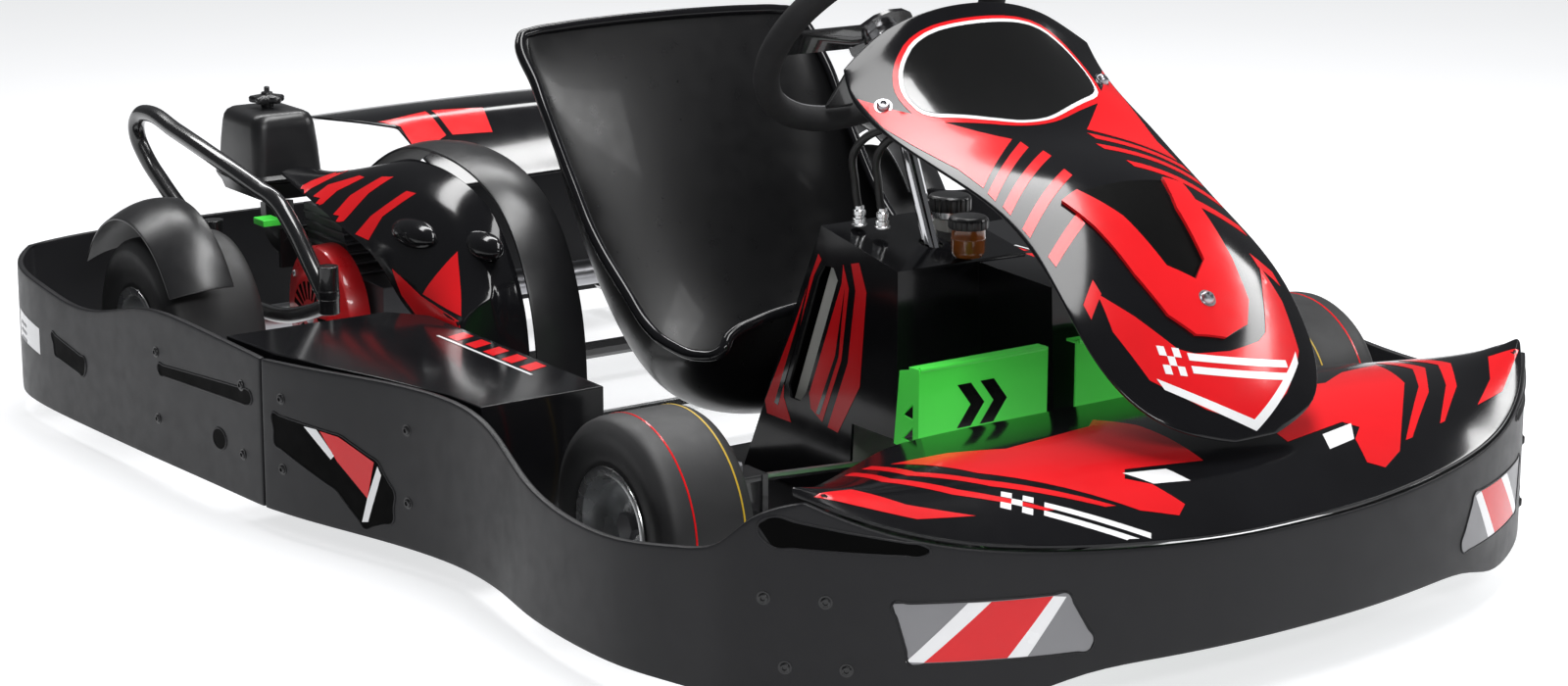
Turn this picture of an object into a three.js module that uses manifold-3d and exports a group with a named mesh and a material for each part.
// A rental kart: steel tube chassis, plastic bumper ring and bodywork, bucket seat, four wheels,
// live rear axle with chain drive and disc brake, steering, pedals, tank and a side-mounted engine.
// Millimetres, +Z up. The kart faces -Y, +X is its left side, and the ground is z = 0.
import * as THREE from "three";
import { mergeVertices } from "three/addons/utils/BufferGeometryUtils.js";
import Module from "manifold-3d";

const wasm = await Module();
wasm.setup();

// ---- Driving dimensions ----

const groundClearance = 33; // under the bumper
const frontAxleY = -429;
const rearAxleY = 669;
const frontRadius = 129; // 10 inch tyre under load
const rearRadius = 141; // 11 inch tyre
const frontWheelX = 493; // middle of the tyre
const rearWheelX = 588;
const frontTyreWidth = 122;
const rearTyreWidth = 144;
const railZ = 52; // middle of the chassis tubes
const railX = 300;
const railRadius = 15;
const kingpinX = 385;
const axleRadius = 20;
const steeringCentre = new THREE.Vector3(0, -195, 618);
const columnAngle = THREE.MathUtils.degToRad(66.8); // column against the floor
const wheelTilt = THREE.MathUtils.degToRad(48.8); // steering wheel against the floor
const wheelRadius = 160; // middle of the steering wheel's grip
const wheelGrip = 17;
const pedalShaftRadius = 5.6;
const pedalPivot = [-545, 72]; // y and z
const neckAt = [60, -262]; // x and y of the fuel filler
const bumperThickness = 16;
const lipFlare = 3; // the top edge of the bumper leans in and tapers by this much
const seamGap = 4; // between the two halves of the bumper
const panelThickness = 4;
const sheetThickness = 3;
const touchGap = 0.4; // between pieces that touch
const wheelFacets = 24;

// ---- Looks: [colour, roughness, metalness] ----

const looks = {
  bumper: [0x2c2d2f, 0.6, 0],
  gloss: [0x0b0b0c, 0.15, 0],
  red: [0xd8131b, 0.3, 0],
  green: [0x45dc45, 0.4, 0],
  coated: [0x101113, 0.3, 0.4],
  steel: [0x8b8e92, 0.35, 1],
  chrome: [0xd4d5d6, 0.12, 1],
  aluminium: [0xc5c7c9, 0.25, 1],
  cast: [0x4a4c4f, 0.6, 0.7],
  rubber: [0x19191a, 0.85, 0],
  suede: [0x2a2a2b, 0.95, 0],
  plastic: [0x1a1b1c, 0.5, 0],
  white: [0xe9e9e4, 0.4, 0],
  amber: [0x8f4711, 0.2, 0],
};

function paint(look) {
  const [color, roughness, metalness] = looks[look];
  return new THREE.MeshStandardMaterial({ color, roughness, metalness });
}

// ---- Shape helpers ----

// A closed geometry with shared vertices and its faces turned outwards.
function closed(geometry) {
  const bare = geometry.clone();
  bare.deleteAttribute("normal");
  bare.deleteAttribute("uv");
  const merged = mergeVertices(bare, 1e-3);
  const at = merged.getAttribute("position");
  const index = merged.index.array;
  const a = new THREE.Vector3();
  const b = new THREE.Vector3();
  const c = new THREE.Vector3();
  let volume = 0;
  for (let i = 0; i < index.length; i += 3) {
    a.fromBufferAttribute(at, index[i]);
    b.fromBufferAttribute(at, index[i + 1]);
    c.fromBufferAttribute(at, index[i + 2]);
    volume += a.dot(b.cross(c));
  }
  if (volume < 0) {
    for (let i = 0; i < index.length; i += 3) {
      [index[i], index[i + 1]] = [index[i + 1], index[i]];
    }
  }
  return merged;
}

function toSolid(geometry) {
  const shape = closed(geometry);
  return new wasm.Manifold(
    new wasm.Mesh({
      numProp: 3,
      vertProperties: shape.getAttribute("position").array,
      triVerts: new Uint32Array(shape.index.array),
    }),
  );
}

function toGeometry(solid) {
  const mesh = solid.getMesh();
  const geometry = new THREE.BufferGeometry();
  geometry.setAttribute("position", new THREE.BufferAttribute(mesh.vertProperties, 3));
  geometry.setIndex(new THREE.BufferAttribute(mesh.triVerts, 1));
  return geometry;
}

function join(...geometries) {
  return toGeometry(geometries.map(toSolid).reduce((whole, part) => whole.add(part)));
}

function cut(geometry, ...tools) {
  return toGeometry(tools.map(toSolid).reduce((rest, tool) => rest.subtract(tool), toSolid(geometry)));
}

function box(x0, x1, y0, y1, z0, z1) {
  const shape = new THREE.BoxGeometry(x1 - x0, y1 - y0, z1 - z0);
  return shape.translate((x0 + x1) / 2, (y0 + y1) / 2, (z0 + z1) / 2);
}

// A plate bent by place(u, v, w), each from 0 to 1, where w runs through its thickness.
function bentPlate(stepsU, stepsV, place) {
  const shape = new THREE.BoxGeometry(1, 1, 1, stepsU, stepsV, 1);
  const at = shape.getAttribute("position");
  for (let i = 0; i < at.count; i++) {
    const [x, y, z] = place(at.getX(i) + 0.5, at.getY(i) + 0.5, at.getZ(i) + 0.5);
    at.setXYZ(i, x, y, z);
  }
  return closed(shape);
}

// A block with a flat floor and a flat roof: each is [x0, x1, y0, y1], and z goes from low to high.
function taperedBlock(floor, roof, low, high, roofSlope = 0) {
  return bentPlate(1, 1, (u, v, w) => {
    const mix = (i) => floor[i] + (roof[i] - floor[i]) * w;
    const lift = roofSlope * (v - 0.5) * w;
    return [mix(0) + (mix(1) - mix(0)) * u, mix(2) + (mix(3) - mix(2)) * v, low + (high - low) * w + lift];
  });
}

// An outline in two directions, extruded along the third. The axes run in the order x, y, z.
function prism(outline, axis, from, to) {
  const shape = new THREE.Shape(outline.map(([a, b]) => new THREE.Vector2(a, b)));
  const solid = new THREE.ExtrudeGeometry(shape, { depth: to - from, bevelEnabled: false });
  const at = solid.getAttribute("position");
  for (let i = 0; i < at.count; i++) {
    const [a, b, c] = [at.getX(i), at.getY(i), at.getZ(i) + from];
    if (axis === "x") at.setXYZ(i, c, a, b);
    else if (axis === "y") at.setXYZ(i, a, c, b);
    else at.setXYZ(i, a, b, c);
  }
  return closed(solid);
}

// A solid of revolution from [radius, along] points that close on themselves or end on the axis.
function turned(profile, facets, axis, centre) {
  const points = profile.map(([radius, along]) => new THREE.Vector2(radius, along));
  if (profile[0][0] > 0) points.push(points[0].clone());
  const solid = new THREE.LatheGeometry(points, facets, Math.PI / facets);
  if (axis === "x") solid.rotateZ(-Math.PI / 2);
  if (axis === "z") solid.rotateX(Math.PI / 2);
  return closed(solid.translate(...centre));
}

function rod(radius, from, to, facets, axis, centre) {
  return turned([[0, from], [radius, from], [radius, to], [0, to]], facets, axis, centre);
}

function circle(radius, sides) {
  const shape = new THREE.Shape();
  for (let i = 0; i < sides; i++) {
    const turn = (2 * Math.PI * (i + 0.5)) / sides;
    const [x, y] = [radius * Math.cos(turn), radius * Math.sin(turn)];
    if (i) shape.lineTo(x, y);
    else shape.moveTo(x, y);
  }
  return shape;
}

function tube(points, radius, steps, sides = 8) {
  const path = new THREE.CatmullRomCurve3(points.map((p) => new THREE.Vector3(...p)), false, "centripetal");
  return closed(new THREE.ExtrudeGeometry(circle(radius, sides), { steps, extrudePath: path, bevelEnabled: false }));
}

// Reads a smooth value from [key, value] stations.
function along(stations, key) {
  let i = 0;
  while (i < stations.length - 2 && key > stations[i + 1][0]) i++;
  const [k0, v0] = stations[i];
  const [k1, v1] = stations[i + 1];
  const t = THREE.MathUtils.clamp((key - k0) / (k1 - k0), 0, 1);
  return v0 + (v1 - v0) * t;
}

function mirrored(geometry) {
  return closed(geometry.clone().scale(-1, 1, 1));
}

const kart = new THREE.Group();

function add(name, geometry, look) {
  const mesh = new THREE.Mesh(closed(geometry), paint(look));
  mesh.name = name;
  kart.add(mesh);
}

function addPair(name, rightGeometry, look) {
  add(`${name}_right`, rightGeometry, look);
  add(`${name}_left`, mirrored(rightGeometry), look);
}

// ---- Chassis tubes and floor ----

function chassis() {
  const railPath = [
    [-190, -600, railZ],
    [-232, -540, railZ],
    [-285, -430, railZ],
    [-railX, -300, railZ],
    [-railX, -120, railZ],
    [-railX, 300, railZ],
    [-285, 430, railZ],
    [-270, 540, railZ],
    [-270, 940, railZ],
  ];
  addPair("frame_rail", tube(railPath, railRadius, 14), "coated");

  const crossTube = (y, halfLength) => rod(13, -halfLength, halfLength, 8, "x", [0, y, railZ]);
  const stay = prism([
    [166, 40],
    [238, 40],
    [228, 206],
    [176, 206],
  ], "x", 248, 252);
  const seatBar = crossTube(202, railX - railRadius - touchGap);
  add("seat_crossmember", join(seatBar, stay, mirrored(stay)), "aluminium");
  add("rear_crossmember", crossTube(545, 270 - railRadius - touchGap), "coated");

  const hoop = [
    [-190, -616, railZ],
    [-250, -660, railZ + 8],
    [-400, -760, 90],
    [-340, -850, 96],
    [-180, -905, 96],
    [0, -920, 96],
  ];
  const hoopPath = [...hoop, ...hoop.slice(0, -1).reverse().map(([x, y, z]) => [-x, y, z])];
  const frontTube = rod(11, -190, 190, 8, "x", [0, -622, railZ]);
  const pedalEar = box(160, 164, -632, -530, 40, 86);
  const pedalShaft = rod(pedalShaftRadius, -162, 162, 10, "x", [0, ...pedalPivot]);
  const frontFrame = join(tube(hoopPath, 11, 20, 6), frontTube, pedalEar, mirrored(pedalEar), pedalShaft);
  add("front_hoop", frontFrame, "coated");

  const barPath = [
    [-railX - railRadius - 4, -120, railZ],
    [-420, -124, railZ],
    [-540, -110, railZ],
    [-596, -40, railZ + 2],
    [-622, 80, railZ + 3],
    [-618, 190, railZ + 2],
    [-560, 272, railZ],
    [-420, 286, railZ],
    [-railX - railRadius - 4, 286, railZ],
  ];
  addPair("side_bar", tube(barPath, 12, 14, 6), "coated");

  const trayOutline = [
    [-160, -600],
    [-262, -470],
    [-284, -300],
    [-284, 40],
    [284, 40],
    [284, -300],
    [262, -470],
    [160, -600],
  ];
  add("floor_tray", prism(trayOutline, "z", 31, railZ - railRadius - touchGap), "plastic");
}

// The front crossmember carries a yoke for each kingpin and the lower bearing of the column.
function frontCrossmember() {
  const tubeZ = 84;
  const yokeTop = 166;
  const bar = rod(14, -354, 354, 10, "x", [0, frontAxleY, tubeZ]);
  const yoke = (side) => {
    const backPlate = box(350, 358, frontAxleY - 22, frontAxleY + 22, 72, yokeTop);
    const lowerPlate = box(352, 402, frontAxleY - 20, frontAxleY + 20, 90, 98);
    const upperPlate = box(352, 402, frontAxleY - 20, frontAxleY + 20, yokeTop - 8, yokeTop);
    const bore = rod(9.5, 80, 180, 12, "z", [kingpinX, frontAxleY, 0]);
    const whole = cut(join(backPlate, lowerPlate, upperPlate), bore);
    return side > 0 ? whole : mirrored(whole);
  };
  const bearingBlock = box(-26, 26, frontAxleY - 24, frontAxleY + 16, 80, 106);
  add("front_crossmember", join(bar, yoke(1), yoke(-1), bearingBlock), "coated");
}

// ---- Bumper ring ----

// Half outline of the bumper from the middle of the front to the middle of the rear:
// [distance from the middle plane, y, height of the top edge].
const bumperStations = [
  [0, -976, 180],
  [110, -973, 180],
  [240, -955, 188],
  [335, -929, 195],
  [424, -888, 205],
  [502, -837, 228],
  [556, -786, 254],
  [592, -746, 226],
  [603, -725, 197],
  [620, -669, 186],
  [638, -611, 178],
  [647, -550, 173],
  [647, -462, 176],
  [642, -390, 186],
  [628, -320, 204],
  [621, -250, 230],
  [624, -160, 237],
  [655, -40, 235],
  [688, 60, 231],
  [709, 152, 228],
  [724, 326, 237],
  [736, 450, 241],
  [745, 560, 214],
  [752, 650, 198],
  [760, 770, 212],
  [754, 880, 219],
  [716, 950, 230],
  [610, 971, 238],
  [320, 976, 240],
  [0, 976, 240],
];
const seamStation = 19;

function bumperPath(stations) {
  return new THREE.CatmullRomCurve3(stations.map(([x, y, top]) => new THREE.Vector3(x, y, top)), false, "centripetal");
}

function bumperWall(stations, steps, bottomAt) {
  const right = [...stations].reverse().map(([x, y, top]) => [-x, y, top]);
  const path = bumperPath([...right, ...stations.slice(1)]);
  const inwards = new THREE.Vector2();
  return bentPlate(steps, 1, (u, v, w) => {
    const point = path.getPoint(u);
    const heading = path.getTangent(u);
    inwards.set(-heading.y, heading.x).normalize();
    if (inwards.dot(new THREE.Vector2(point.x, point.y * 0.5)) > 0) inwards.negate();
    const low = bottomAt(Math.abs(point.x), point.y);
    const inset = bumperThickness * w + lipFlare * v * (1 - 2 * w);
    return [point.x + inwards.x * inset, point.y + inwards.y * inset, low + (point.z - low) * v];
  });
}

function bumper() {
  const frontHalf = bumperStations.slice(0, seamStation + 1);
  const rearHalf = bumperStations.slice(seamStation).reverse();
  const chin = (x, y) => (y < -900 && x < 320 ? groundClearance + 28 : groundClearance);
  add("bumper_front", bumperWall(frontHalf, 46, chin), "bumper");
  const rear = rearHalf.map(([x, y, top], i) => [x, i === rearHalf.length - 1 ? y + seamGap : y, top]);
  add("bumper_rear", bumperWall(rear, 28, () => groundClearance), "bumper");
}

// ---- Nose panel and front fairing ----

const noseFront = bumperStations.slice(0, 7);
const noseRear = [
  [0, -616, 226],
  [150, -614, 226],
  [300, -616, 224],
  [360, -648, 226],
  [430, -690, 230],
  [500, -736, 238],
  [548, -772, 252],
];

function nosePanel() {
  const frontPath = bumperPath(noseFront);
  const rearPath = bumperPath(noseRear);
  const shape = bentPlate(20, 5, (u, v, w) => {
    const side = u < 0.5 ? -1 : 1;
    const t = Math.abs(2 * u - 1);
    const front = frontPath.getPoint(t);
    const rear = rearPath.getPoint(t);
    const x = (front.x + (rear.x - front.x) * v) * 0.985;
    const y = front.y + 5 + (rear.y - front.y - 5) * v;
    const crown = 38 * (1 - t * t) + 6;
    const z = front.z + 3 + (rear.z - front.z) * v + crown * Math.sin(Math.PI * Math.pow(v, 0.8));
    return [side * x, y, z + panelThickness * w];
  });
  add("nose_panel", shape, "gloss");
}

// Fairing stations from the tip up: [middle y, middle z, half width, side edge y, side edge z].
const fairingStations = [
  [-889, 254, 34, -888, 254],
  [-884, 276, 96, -878, 270],
  [-866, 308, 128, -854, 290],
  [-842, 344, 147, -829, 314],
  [-812, 380, 158, -797, 346],
  [-783, 408, 161, -767, 380],
  [-748, 442, 158, -731, 414],
  [-708, 474, 153, -690, 442],
  [-660, 502, 150, -640, 472],
  [-600, 522, 157, -594, 495],
  [-540, 536, 168, -542, 514],
  [-485, 554, 182, -487, 536],
  [-430, 606, 192, -425, 560],
  [-400, 642, 193, -388, 586],
  [-382, 664, 186, -372, 616],
  [-372, 678, 140, -364, 646],
];

function fairingPlace() {
  const line = (pick) => new THREE.CatmullRomCurve3(
    fairingStations.map((station) => new THREE.Vector3(...pick(station))), false, "centripetal");
  const middle = line(([y, z]) => [0, y, z]);
  const edge = line(([, , half, y, z]) => [half, y, z]);
  return (u, v, w) => {
    const point = middle.getPoint(v);
    const heading = middle.getTangent(v);
    const rim = edge.getPoint(v);
    const side = 2 * u - 1;
    const share = Math.pow(Math.abs(side), 2.2);
    const thin = panelThickness * (1 - w);
    return [
      side * rim.x,
      point.y + (rim.y - point.y) * share + heading.z * thin,
      point.z + (rim.z - point.z) * share - heading.y * thin,
    ];
  };
}

function frontFairing() {
  add("front_fairing", bentPlate(10, 14, fairingPlace()), "gloss");
}

// ---- Tank, its cover and the brake fluid reservoir ----

function columnHole() {
  return ontoColumn(rod(15, -600, -100, 10, "z", [0, 0, 0]));
}

function tankCover() {
  const shell = (inset) => {
    const floor = [-118 + inset, 118 - inset, -390 + inset, -57 - inset];
    const roof = [-100 + inset, 100 - inset, -366 + inset, -206 - inset];
    return taperedBlock(floor, roof, 40 - (inset ? 20 : 0), 372 - inset, 30);
  };
  const annexe = (inset) => {
    const floor = [22 + inset, 112 - inset, -520 + inset, -340];
    const roof = [24 + inset, 100 - inset, -508 + inset, -330];
    return taperedBlock(floor, roof, 150 - (inset ? 20 : 0), 352 - inset, 8);
  };
  const slotOutline = [
    [-246, 324],
    [-236, 338],
    [-216, 338],
    [-204, 320],
    [-150, 168],
    [-156, 154],
    [-178, 154],
    [-190, 168],
  ];
  const slot = prism(slotOutline, "x", -140, -80);
  const neckHole = rod(25, 300, 420, 12, "z", [...neckAt, 0]);
  const linkRoom = box(-140, 140, -420, -290, 20, 150);
  const outer = join(shell(0), annexe(0));
  const inner = join(shell(sheetThickness), annexe(sheetThickness));
  add("tank_cover", cut(outer, inner, slot, columnHole(), neckHole, linkRoom), "gloss");

  const body = taperedBlock([-98, 98, -240, -98], [-86, 86, -278, -216], 38, 352);
  const neck = rod(20, 340, 388, 12, "z", [...neckAt, 0]);
  add("fuel_tank", join(body, neck), "white");
  const capProfile = [[0, 389], [20, 389], [20, 398], [28, 398], [28, 414], [24, 418], [0, 418]];
  add("tank_cap", turned(capProfile, 14, "z", [...neckAt, 0]), "plastic");

  const reservoirAt = [8, -366, 0];
  const bowlProfile = [[0, 363], [17, 363], [21, 369], [21, 398], [0, 398]];
  add("fluid_reservoir", turned(bowlProfile, 14, "z", reservoirAt), "amber");
  const lidProfile = [[0, 398 + touchGap], [25, 398 + touchGap], [25, 410], [21, 414], [0, 414]];
  add("reservoir_cap", turned(lidProfile, 14, "z", reservoirAt), "plastic");
}

function fuelHoses() {
  const hose = (x, y, spread) => {
    const route = [
      [x, y, 400],
      [x - 4, y + 4, 440],
      [x - 10, y - 4, 484],
      [x + spread, y - 60, 520],
      [x + 2 * spread, y - 130, 522],
    ];
    return tube(route, 5, 8, 6);
  };
  const fitting = (x, y) => rod(9, 388, 410, 6, "z", [x, y, 0]);
  const bridge = box(-70, -36, -276, -218, 386.5, 390);
  const hoses = join(hose(-60, -232, 8), fitting(-60, -232), hose(-46, -262, 5), fitting(-46, -262), bridge);
  add("fuel_hoses", hoses, "rubber");
}

// ---- Steering ----

// Turns a shape made around the Z axis so that Z runs along the column, with z = 0 at the wheel centre.
function ontoColumn(geometry) {
  return geometry.rotateX(columnAngle - Math.PI / 2).translate(...steeringCentre.toArray());
}

// The same point as ontoColumn gives, for single coordinates.
function onColumn(x, y, z) {
  const upright = new THREE.Vector3(x, y, z).applyAxisAngle(new THREE.Vector3(1, 0, 0), columnAngle - Math.PI / 2);
  return upright.add(steeringCentre);
}

// The steering wheel sits on a wedge, so it stands steeper than a plain wheel on this column would.
function ontoWheel(geometry) {
  return geometry.rotateX(-wheelTilt).translate(...steeringCentre.toArray());
}

const pitmanAlong = -540; // where the pitman arm sits, measured down the column
const pitmanRadius = 40;
const pinX = 14; // each tie rod turns on a pin this far from the middle
const armLength = 100; // steering arm on each spindle

function steering() {
  const shaft = rod(10, -552, -8, 10, "z", [0, 0, 0]);
  const arm = box(-24, 24, 0, pitmanRadius + 12, pitmanAlong - 4, pitmanAlong + 4);
  const pin = (side) => rod(4, pitmanAlong, pitmanAlong + 18, 8, "z", [side * pinX, pitmanRadius, 0]);
  const hub = ontoWheel(rod(24, -12, -2, 12, "z", [0, 0, 0]));
  add("steering_column", join(ontoColumn(join(shaft, arm, pin(1), pin(-1))), hub), "chrome");

  const rimPath = new THREE.CatmullRomCurve3(
    [...Array(12).keys()].map((i) => {
      const turn = (i * Math.PI) / 6;
      return new THREE.Vector3(wheelRadius * Math.cos(turn), wheelRadius * Math.sin(turn), 0);
    }), true);
  const section = circle(wheelGrip, 6);
  const rim = new THREE.ExtrudeGeometry(section, { steps: 24, extrudePath: rimPath, bevelEnabled: false });
  add("steering_wheel_rim", ontoWheel(closed(rim)), "suede");

  const disc = rod(46, -1.6, 3, 14, "z", [0, 0, 0]);
  const spoke = (turn) => box(-20, 20, 30, wheelRadius - wheelGrip - 5, -1.6, 3).rotateZ(turn);
  const plate = join(disc, spoke(0), spoke(Math.PI / 2), spoke(-Math.PI / 2));
  add("steering_wheel_plate", ontoWheel(plate), "coated");
}

function spindlesAndRods() {
  const barrel = rod(14, 99, 157, 10, "z", [-kingpinX, frontAxleY, 0]);
  const kingpin = rod(8.5, 84, 178, 8, "z", [-kingpinX, frontAxleY, 0]);
  const kingpinHead = rod(13, 167, 178, 6, "z", [-kingpinX, frontAxleY, 0]);
  const kingpinNut = rod(13, 78, 89, 6, "z", [-kingpinX, frontAxleY, 0]);
  const stub = rod(12, -534, -380, 10, "x", [0, frontAxleY, frontRadius]);
  const stubNut = rod(17, -534, -524, 6, "x", [0, frontAxleY, frontRadius]);
  const arm = prism([
    [-kingpinX - 12, frontAxleY],
    [-kingpinX + 6, frontAxleY],
    [-362, frontAxleY + armLength + 10],
    [-382, frontAxleY + armLength + 10],
  ], "z", 101, 109);
  addPair("spindle", join(barrel, kingpin, kingpinHead, kingpinNut, stub, stubNut, arm), "cast");

  const eyeProfile = [[4.5, 5], [9, 5], [9, 15], [4.5, 15]].map(([r, z]) => [r, z + pitmanAlong]);
  const eye = ontoColumn(turned(eyeProfile, 10, "z", [-pinX, pitmanRadius, 0]));
  const inner = onColumn(-pinX - 6.5, pitmanRadius, pitmanAlong + 10);
  const outer = new THREE.Vector3(-370, frontAxleY + armLength, 124);
  const route = [inner, inner.clone().lerp(outer, 0.5), outer].map((point) => point.toArray());
  const ballJoint = rod(11, 115, 133, 8, "z", [outer.x, outer.y, 0]);
  addPair("tie_rod", join(eye, tube(route, 5, 2, 6), ballJoint), "steel");
}

// ---- Wheels ----

function tyre(radius, width, axleY, wheelX) {
  const outer = radius / Math.cos(Math.PI / wheelFacets);
  const half = width / 2;
  const side = [[67, half - 8], [78, half - 5], [outer - 30, half], [outer - 6, half - 6], [outer, half - 18]];
  const profile = [...side, ...[...side].reverse().map(([r, x]) => [r, -x])];
  return turned(profile, wheelFacets, "x", [-wheelX, axleY, radius]);
}

// The dish faces outwards, so on the right wheel it faces -X.
function rim(half, dish, bore, hubFrom, hubTo, axleY, wheelX, radius) {
  const profile = [
    [72, half],
    [64, half - 8],
    [64, 8 - half],
    [72, -half],
    [62, -half],
    [58, dish - 8],
    [bore + 12, dish - 8],
    [bore + 12, -hubFrom],
    [bore, -hubFrom],
    [bore, -hubTo],
    [bore + 13, -hubTo],
    [bore + 14, dish + 8],
    [60, dish + 10],
    [62, half],
  ].map(([r, x]) => [r, -x]);
  return turned(profile, 14, "x", [-wheelX, axleY, radius]);
}

function wheels() {
  addPair("front_tyre", tyre(frontRadius, frontTyreWidth, frontAxleY, frontWheelX), "rubber");
  addPair("rear_tyre", tyre(rearRadius, rearTyreWidth, rearAxleY, rearWheelX), "rubber");
  addPair("front_rim", rim(60, -18, 13.2, 48, -26, frontAxleY, frontWheelX, frontRadius), "aluminium");
  addPair("rear_rim", rim(71, -20, axleRadius + 1, 66, 4, rearAxleY, rearWheelX, rearRadius), "aluminium");
}

// ---- Rear axle, chain drive and brake ----

const sprocketX = -236;
const sprocketRadius = 84;
const clutchY = 492;
const clutchZ = 150;
const clutchRadius = 32;

// Racetrack round two circles in the y-z plane, as [y, z] points.
function beltOutline(extra) {
  const points = [];
  const apart = Math.hypot(rearAxleY - clutchY, rearRadius - clutchZ);
  const lean = Math.atan2(rearRadius - clutchZ, rearAxleY - clutchY);
  const spread = Math.acos((sprocketRadius - clutchRadius) / apart);
  const arc = (y, z, radius, from, to, steps) => {
    for (let i = 0; i <= steps; i++) {
      const turn = from + ((to - from) * i) / steps;
      points.push([y + radius * Math.cos(turn), z + radius * Math.sin(turn)]);
    }
  };
  arc(rearAxleY, rearRadius, sprocketRadius + extra, lean - Math.PI + spread, lean + Math.PI - spread, 14);
  arc(clutchY, clutchZ, clutchRadius + extra, lean + Math.PI - spread, lean + Math.PI + spread, 8);
  return points;
}

function driveline() {
  add("rear_axle", rod(axleRadius, -598, 598, 14, "x", [0, rearAxleY, rearRadius]), "steel");

  const carrierOutline = [
    [rearAxleY - 46, 68],
    [rearAxleY + 46, 68],
    [rearAxleY + 40, 160],
    [rearAxleY + 20, 184],
    [rearAxleY - 20, 184],
    [rearAxleY - 40, 160],
  ];
  const carrier = prism(carrierOutline, "x", -286, -262);
  const bore = rod(axleRadius + 1.2, -300, -240, 14, "x", [0, rearAxleY, rearRadius]);
  addPair("axle_carrier", cut(carrier, bore), "aluminium");

  const wheelOnAxle = (radius, half, x) => {
    const profile = [
      [axleRadius + 1, -half],
      [radius, -half],
      [radius, half],
      [34, half],
      [34, half + 10],
      [axleRadius + 1, half + 10],
    ];
    return turned(profile, 20, "x", [x, rearAxleY, rearRadius]);
  };
  add("axle_sprocket", wheelOnAxle(sprocketRadius, 3, sprocketX), "steel");
  add("brake_disc", wheelOnAxle(92, 3, 176), "steel");
  const outside = prism(beltOutline(9), "x", sprocketX - 5, sprocketX + 5);
  const inside = prism(beltOutline(1.2), "x", sprocketX - 9, sprocketX + 9);
  add("drive_chain", cut(outside, inside), "steel");
  add("clutch_sprocket", rod(clutchRadius, -262, sprocketX + 5, 16, "x", [0, clutchY, clutchZ]), "steel");

  const caliper = box(152, 200, rearAxleY - 108, rearAxleY - 44, rearRadius - 10, rearRadius + 56);
  const discSlot = box(171, 181, rearAxleY - 99, rearAxleY, rearRadius - 20, rearRadius + 70);
  add("brake_caliper", cut(caliper, discSlot), "aluminium");
}

// ---- Engine ----

function engine() {
  const crankcase = taperedBlock([-404, -276, 410, 606], [-396, -282, 420, 610], 74, 226);
  const cylinder = taperedBlock([-396, -284, 500, 640], [-392, -288, 560, 672], 200, 306);
  const shaft = rod(11, -300, -263, 10, "x", [0, clutchY, clutchZ]);
  add("engine_block", join(crankcase, cylinder, shaft), "cast");

  const fanProfile = [[0, -24], [58, -24], [72, -14], [96, -10], [100, 22], [0, 22]];
  add("engine_shroud", turned(fanProfile, 18, "x", [-428, 540, 170]), "red");

  const baseBlock = taperedBlock([-444, -346, 700, 856], [-452, -334, 704, 852], 304, 330);
  const lid = bentPlate(3, 3, (u, v, w) => {
    const edge = Math.max(Math.abs(2 * u - 1), Math.abs(2 * v - 1));
    const round = w > 0.5 && edge > 0.9 ? 0.88 : 1;
    const drop = w > 0.5 && edge > 0.9 ? 12 : 0;
    return [-393 + (u - 0.5) * 116 * round, 778 + (v - 0.5) * 146 * round, 331 + 98 * w - drop];
  });
  add("air_filter_box", join(baseBlock, lid, box(-430, -356, 720, 830, 328, 334)), "plastic");
  const knobProfile = [[0, 430], [10, 430], [10, 435], [27, 437], [27, 446], [8, 450], [4, 460], [0, 460]];
  add("air_filter_knob", turned(knobProfile, 12, "z", [-393, 778, 0]), "plastic");

  const elbow = tube([[-400, 745, 296], [-402, 738, 268], [-404, 712, 246], [-404, 674, 240]], 24, 5, 8);
  const flange = box(-430, -378, 673, 681, 212, 270);
  add("carburettor", join(elbow, flange), "plastic");
  add("fuel_lever", box(-458, -430, 668, 702, 276, 286), "green");

  const can = rod(44, -262, -64, 16, "x", [0, 800, 180]);
  const pipeRoute = [[-250, 800, 180], [-296, 796, 190], [-322, 760, 230], [-330, 700, 262], [-334, 674, 268]];
  add("muffler", join(can, tube(pipeRoute, 14, 8)), "coated");
}

// Tube hoop that guards the engine, with its two posts and the lower rail.
function engineGuard() {
  const guardX = -498;
  const hoopPath = [
    [guardX, 752, 222],
    [-500, 768, 236],
    [-512, 800, 268],
    [-535, 838, 320],
    [-552, 862, 364],
    [-560, 868, 396],
    [-563, 852, 420],
    [-563, 812, 432],
    [-558, 728, 418],
    [-545, 616, 392],
    [-528, 524, 364],
    [-520, 490, 352],
    [-513, 464, 328],
    [-502, 420, 268],
    [guardX, 384, 228],
  ];
  const lowerPath = [
    [guardX, 750, 224],
    [guardX, 790, 212],
    [guardX, 828, 197],
    [guardX, 838, 184],
    [guardX, 815, 175],
    [guardX, 700, 174],
    [guardX, 600, 174],
    [guardX, 530, 180],
    [guardX, 455, 198],
    [guardX, 384, 222],
  ];
  const post = (y) => rod(14, 212, 278, 10, "z", [guardX, y, 0]);
  const whole = join(tube(hoopPath, 12, 26, 6), tube(lowerPath, 11, 16, 6), post(752), post(380));
  add("engine_guard", whole, "coated");
}

// ---- Bodywork round the engine and the wheels ----

// Arch between the seat and the engine: [y, z] from rear to front.
const archStations = [
  [640, 330],
  [600, 358],
  [530, 394],
  [455, 414],
  [340, 412],
  [250, 388],
  [190, 346],
  [154, 290],
  [128, 217],
  [122, 130],
];
const hoodFoot = 140; // where the hood's front face ends

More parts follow.
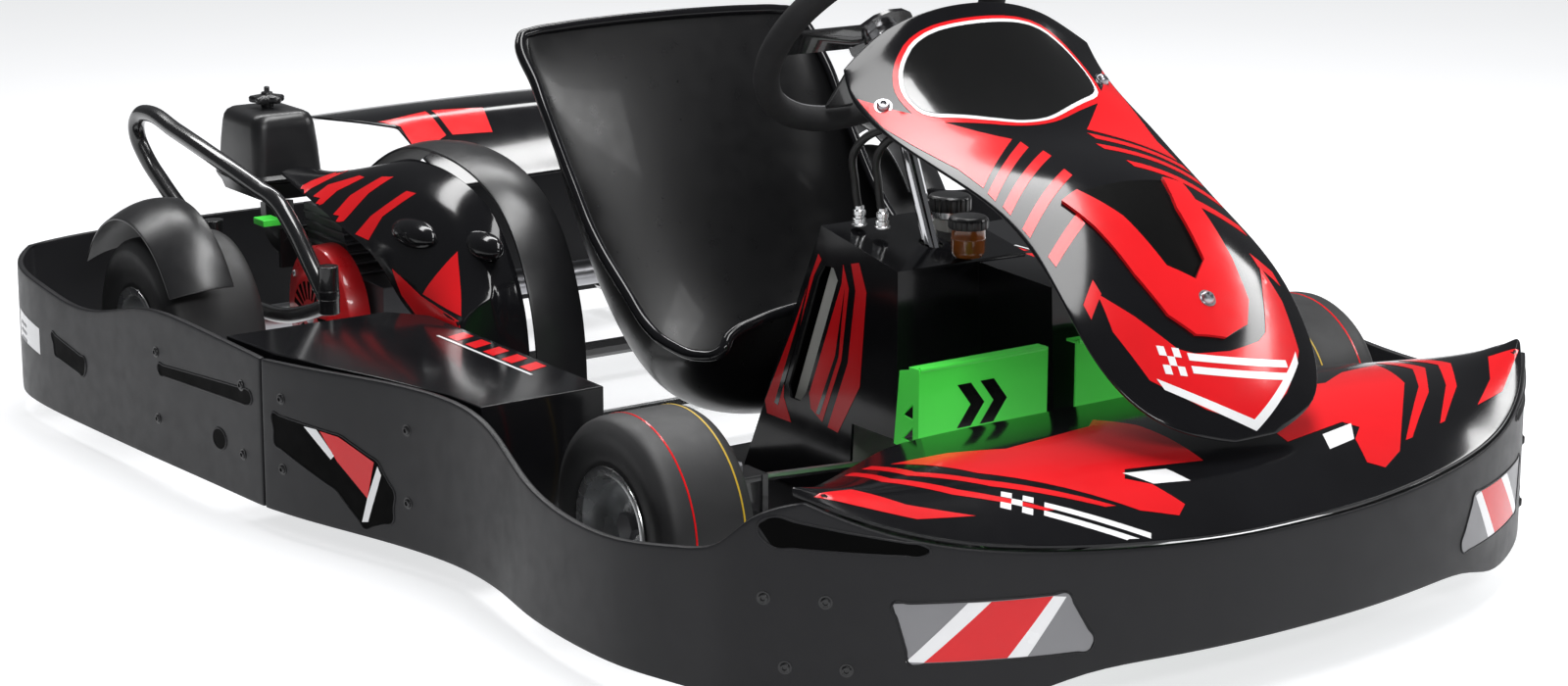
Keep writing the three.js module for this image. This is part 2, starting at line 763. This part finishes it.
function bodywork() {
  const archPath = new THREE.CatmullRomCurve3(
    archStations.map(([y, z]) => new THREE.Vector3(0, y, z)), false, "centripetal");
  const arch = bentPlate(2, 14, (u, v, w) => {
    const point = archPath.getPoint(v);
    const heading = archPath.getTangent(v);
    const crown = 7 * Math.sin(Math.PI * u) - panelThickness * (1 - w);
    return [-324 + 76 * u, point.y + heading.z * crown, point.z - heading.y * crown];
  });
  add("seat_guard", arch, "plastic");

  const topRows = 10;
  const bend = topRows / (topRows + 2);
  const archByY = [...archStations].reverse();
  const hood = bentPlate(8, topRows + 2, (u, v, w) => {
    const run = Math.min(v / bend, 1);
    const fall = Math.max((v - bend) / (1 - bend), 0);
    const y = 664 - (664 - 146) * run;
    const inner = along(archByY, y) - 16;
    const outer = 228 + (y - 118) * 0.235;
    const skirt = 38 * THREE.MathUtils.clamp((360 - y) / 60, 0, 1) + 4;
    const across = Math.min(u / 0.75, 1);
    const down = Math.max((u - 0.75) / 0.25, 0);
    const bulge = 20 * Math.sin(Math.PI * across);
    const top = inner + (outer - inner) * across + bulge - skirt * down;
    const thin = panelThickness * (1 - w);
    const onFront = v > bend - 0.01;
    return [
      -327 - 100 * across - 4 * down + thin * down,
      y - 14 * fall + (onFront ? thin : 0),
      top + (hoodFoot - skirt * down - top) * fall - (fall > 0 ? 0 : thin * (1 - down)),
    ];
  });
  add("engine_cover", hood, "gloss");

  const deckStations = [
    [520, 334, 226],
    [610, 368, 236],
    [664, 402, 242],
    [702, 414, 316],
    [790, 408, 322],
    [860, 394, 300],
    [905, 380, 250],
  ];
  const deckLine = new THREE.CatmullRomCurve3(
    deckStations.map(([y, z, half]) => new THREE.Vector3(half, y, z)), false, "centripetal");
  const deck = bentPlate(6, 9, (u, v, w) => {
    const point = deckLine.getPoint(v);
    const side = 2 * u - 1;
    return [point.x * side, point.y, point.z + 6 * (1 - side * side) - panelThickness * (1 - w)];
  });
  add("rear_cover", deck, "gloss");

  const mudguard = bentPlate(3, 10, (u, v, w) => {
    const turn = THREE.MathUtils.degToRad(30 + 120 * v);
    const radius = 158 + panelThickness * w + 34 * Math.sin(Math.PI * (0.1 + 0.55 * u));
    const x = -668 + 88 * u;
    return [x, rearAxleY - radius * Math.cos(turn), rearRadius + radius * Math.sin(turn)];
  });
  addPair("rear_mudguard", mudguard, "plastic");
}

function sidePods() {
  const podTop = 233;
  const outline = (inset) => [
    [-699 + inset, 268 - inset],
    [-687 + inset, 150],
    [-664 + inset, 60],
    [-632 + inset, -40],
    [-604 + inset, -150],
    [-600 + inset, -222 + inset],
    [-432 - inset, -222 + inset],
    [-432 - inset, 215],
    [-470 - inset, 268 - inset],
  ];
  const outer = prism(outline(0), "z", 78, podTop);
  const inner = prism(outline(panelThickness), "z", 60, podTop - panelThickness);
  addPair("side_pod", cut(outer, inner), "gloss");
}

// ---- Pedals ----

const pedalPlateY = -555;

function pedal() {
  const plate = box(-214, -22, pedalPlateY - sheetThickness, pedalPlateY, 190, 292);
  const lip = box(-214, -22, pedalPlateY - sheetThickness, pedalPlateY + 16, 289, 292);
  const flange = prism([
    [pedalPlateY, 190],
    [pedalPlateY + 44, 194],
    [pedalPlateY + 34, 284],
    [pedalPlateY, 292],
  ], "x", -214, -211);
  const windows = [202, 230].map((z) => prism([
    [pedalPlateY + 8, z],
    [pedalPlateY + 28, z + 2],
    [pedalPlateY + 8, z + 20],
  ], "x", -230, -200));
  const arm = box(-126, -112, pedalPlateY, pedalPlateY + 8, 66, 240);
  const hub = rod(11, -150, -88, 10, "x", [0, ...pedalPivot]);
  const bore = rod(pedalShaftRadius + touchGap, -160, -80, 10, "x", [0, ...pedalPivot]);
  return cut(join(plate, lip, flange, arm, hub), bore, ...windows);
}

// ---- Seat ----

// From the front lip to the top: [middle y, middle z, half width, side y, side z].
const seatStations = [
  [-116, 264, 196, -126, 222],
  [-78, 200, 212, -98, 212],
  [-30, 118, 226, -52, 217],
  [30, 74, 232, -10, 232],
  [104, 80, 235, 38, 268],
  [166, 150, 236, 118, 330],
  [212, 250, 236, 172, 394],
  [252, 360, 237, 214, 450],
  [296, 480, 237, 260, 512],
  [340, 588, 224, 322, 574],
];

function seatShell() {
  const middle = new THREE.CatmullRomCurve3(
    seatStations.map(([y, z]) => new THREE.Vector3(0, y, z)), false, "centripetal");
  const sides = new THREE.CatmullRomCurve3(
    seatStations.map(([, , half, y, z]) => new THREE.Vector3(half, y, z)), false, "centripetal");
  return bentPlate(12, 12, (u, v, w) => {
    const swing = (2 * u - 1) * (Math.PI / 2);
    const low = middle.getPoint(v);
    const high = sides.getPoint(v);
    const rise = 1 - Math.cos(swing);
    const heading = middle.getTangent(v);
    const thick = 5 * (1 - w);
    const back = thick * Math.cos(swing);
    return [
      (high.x + thick) * Math.sin(swing),
      low.y + (high.y - low.y) * rise + heading.z * back,
      low.z + (high.z - low.z) * rise - heading.y * back,
    ];
  });
}

chassis();
frontCrossmember();
bumper();
nosePanel();
frontFairing();
tankCover();
fuelHoses();
steering();
spindlesAndRods();
wheels();
driveline();
engine();
engineGuard();
bodywork();
sidePods();
add("throttle_pedal", pedal(), "green");
add("brake_pedal", mirrored(pedal()), "green");
add("seat_shell", seatShell(), "gloss");

export default kart;
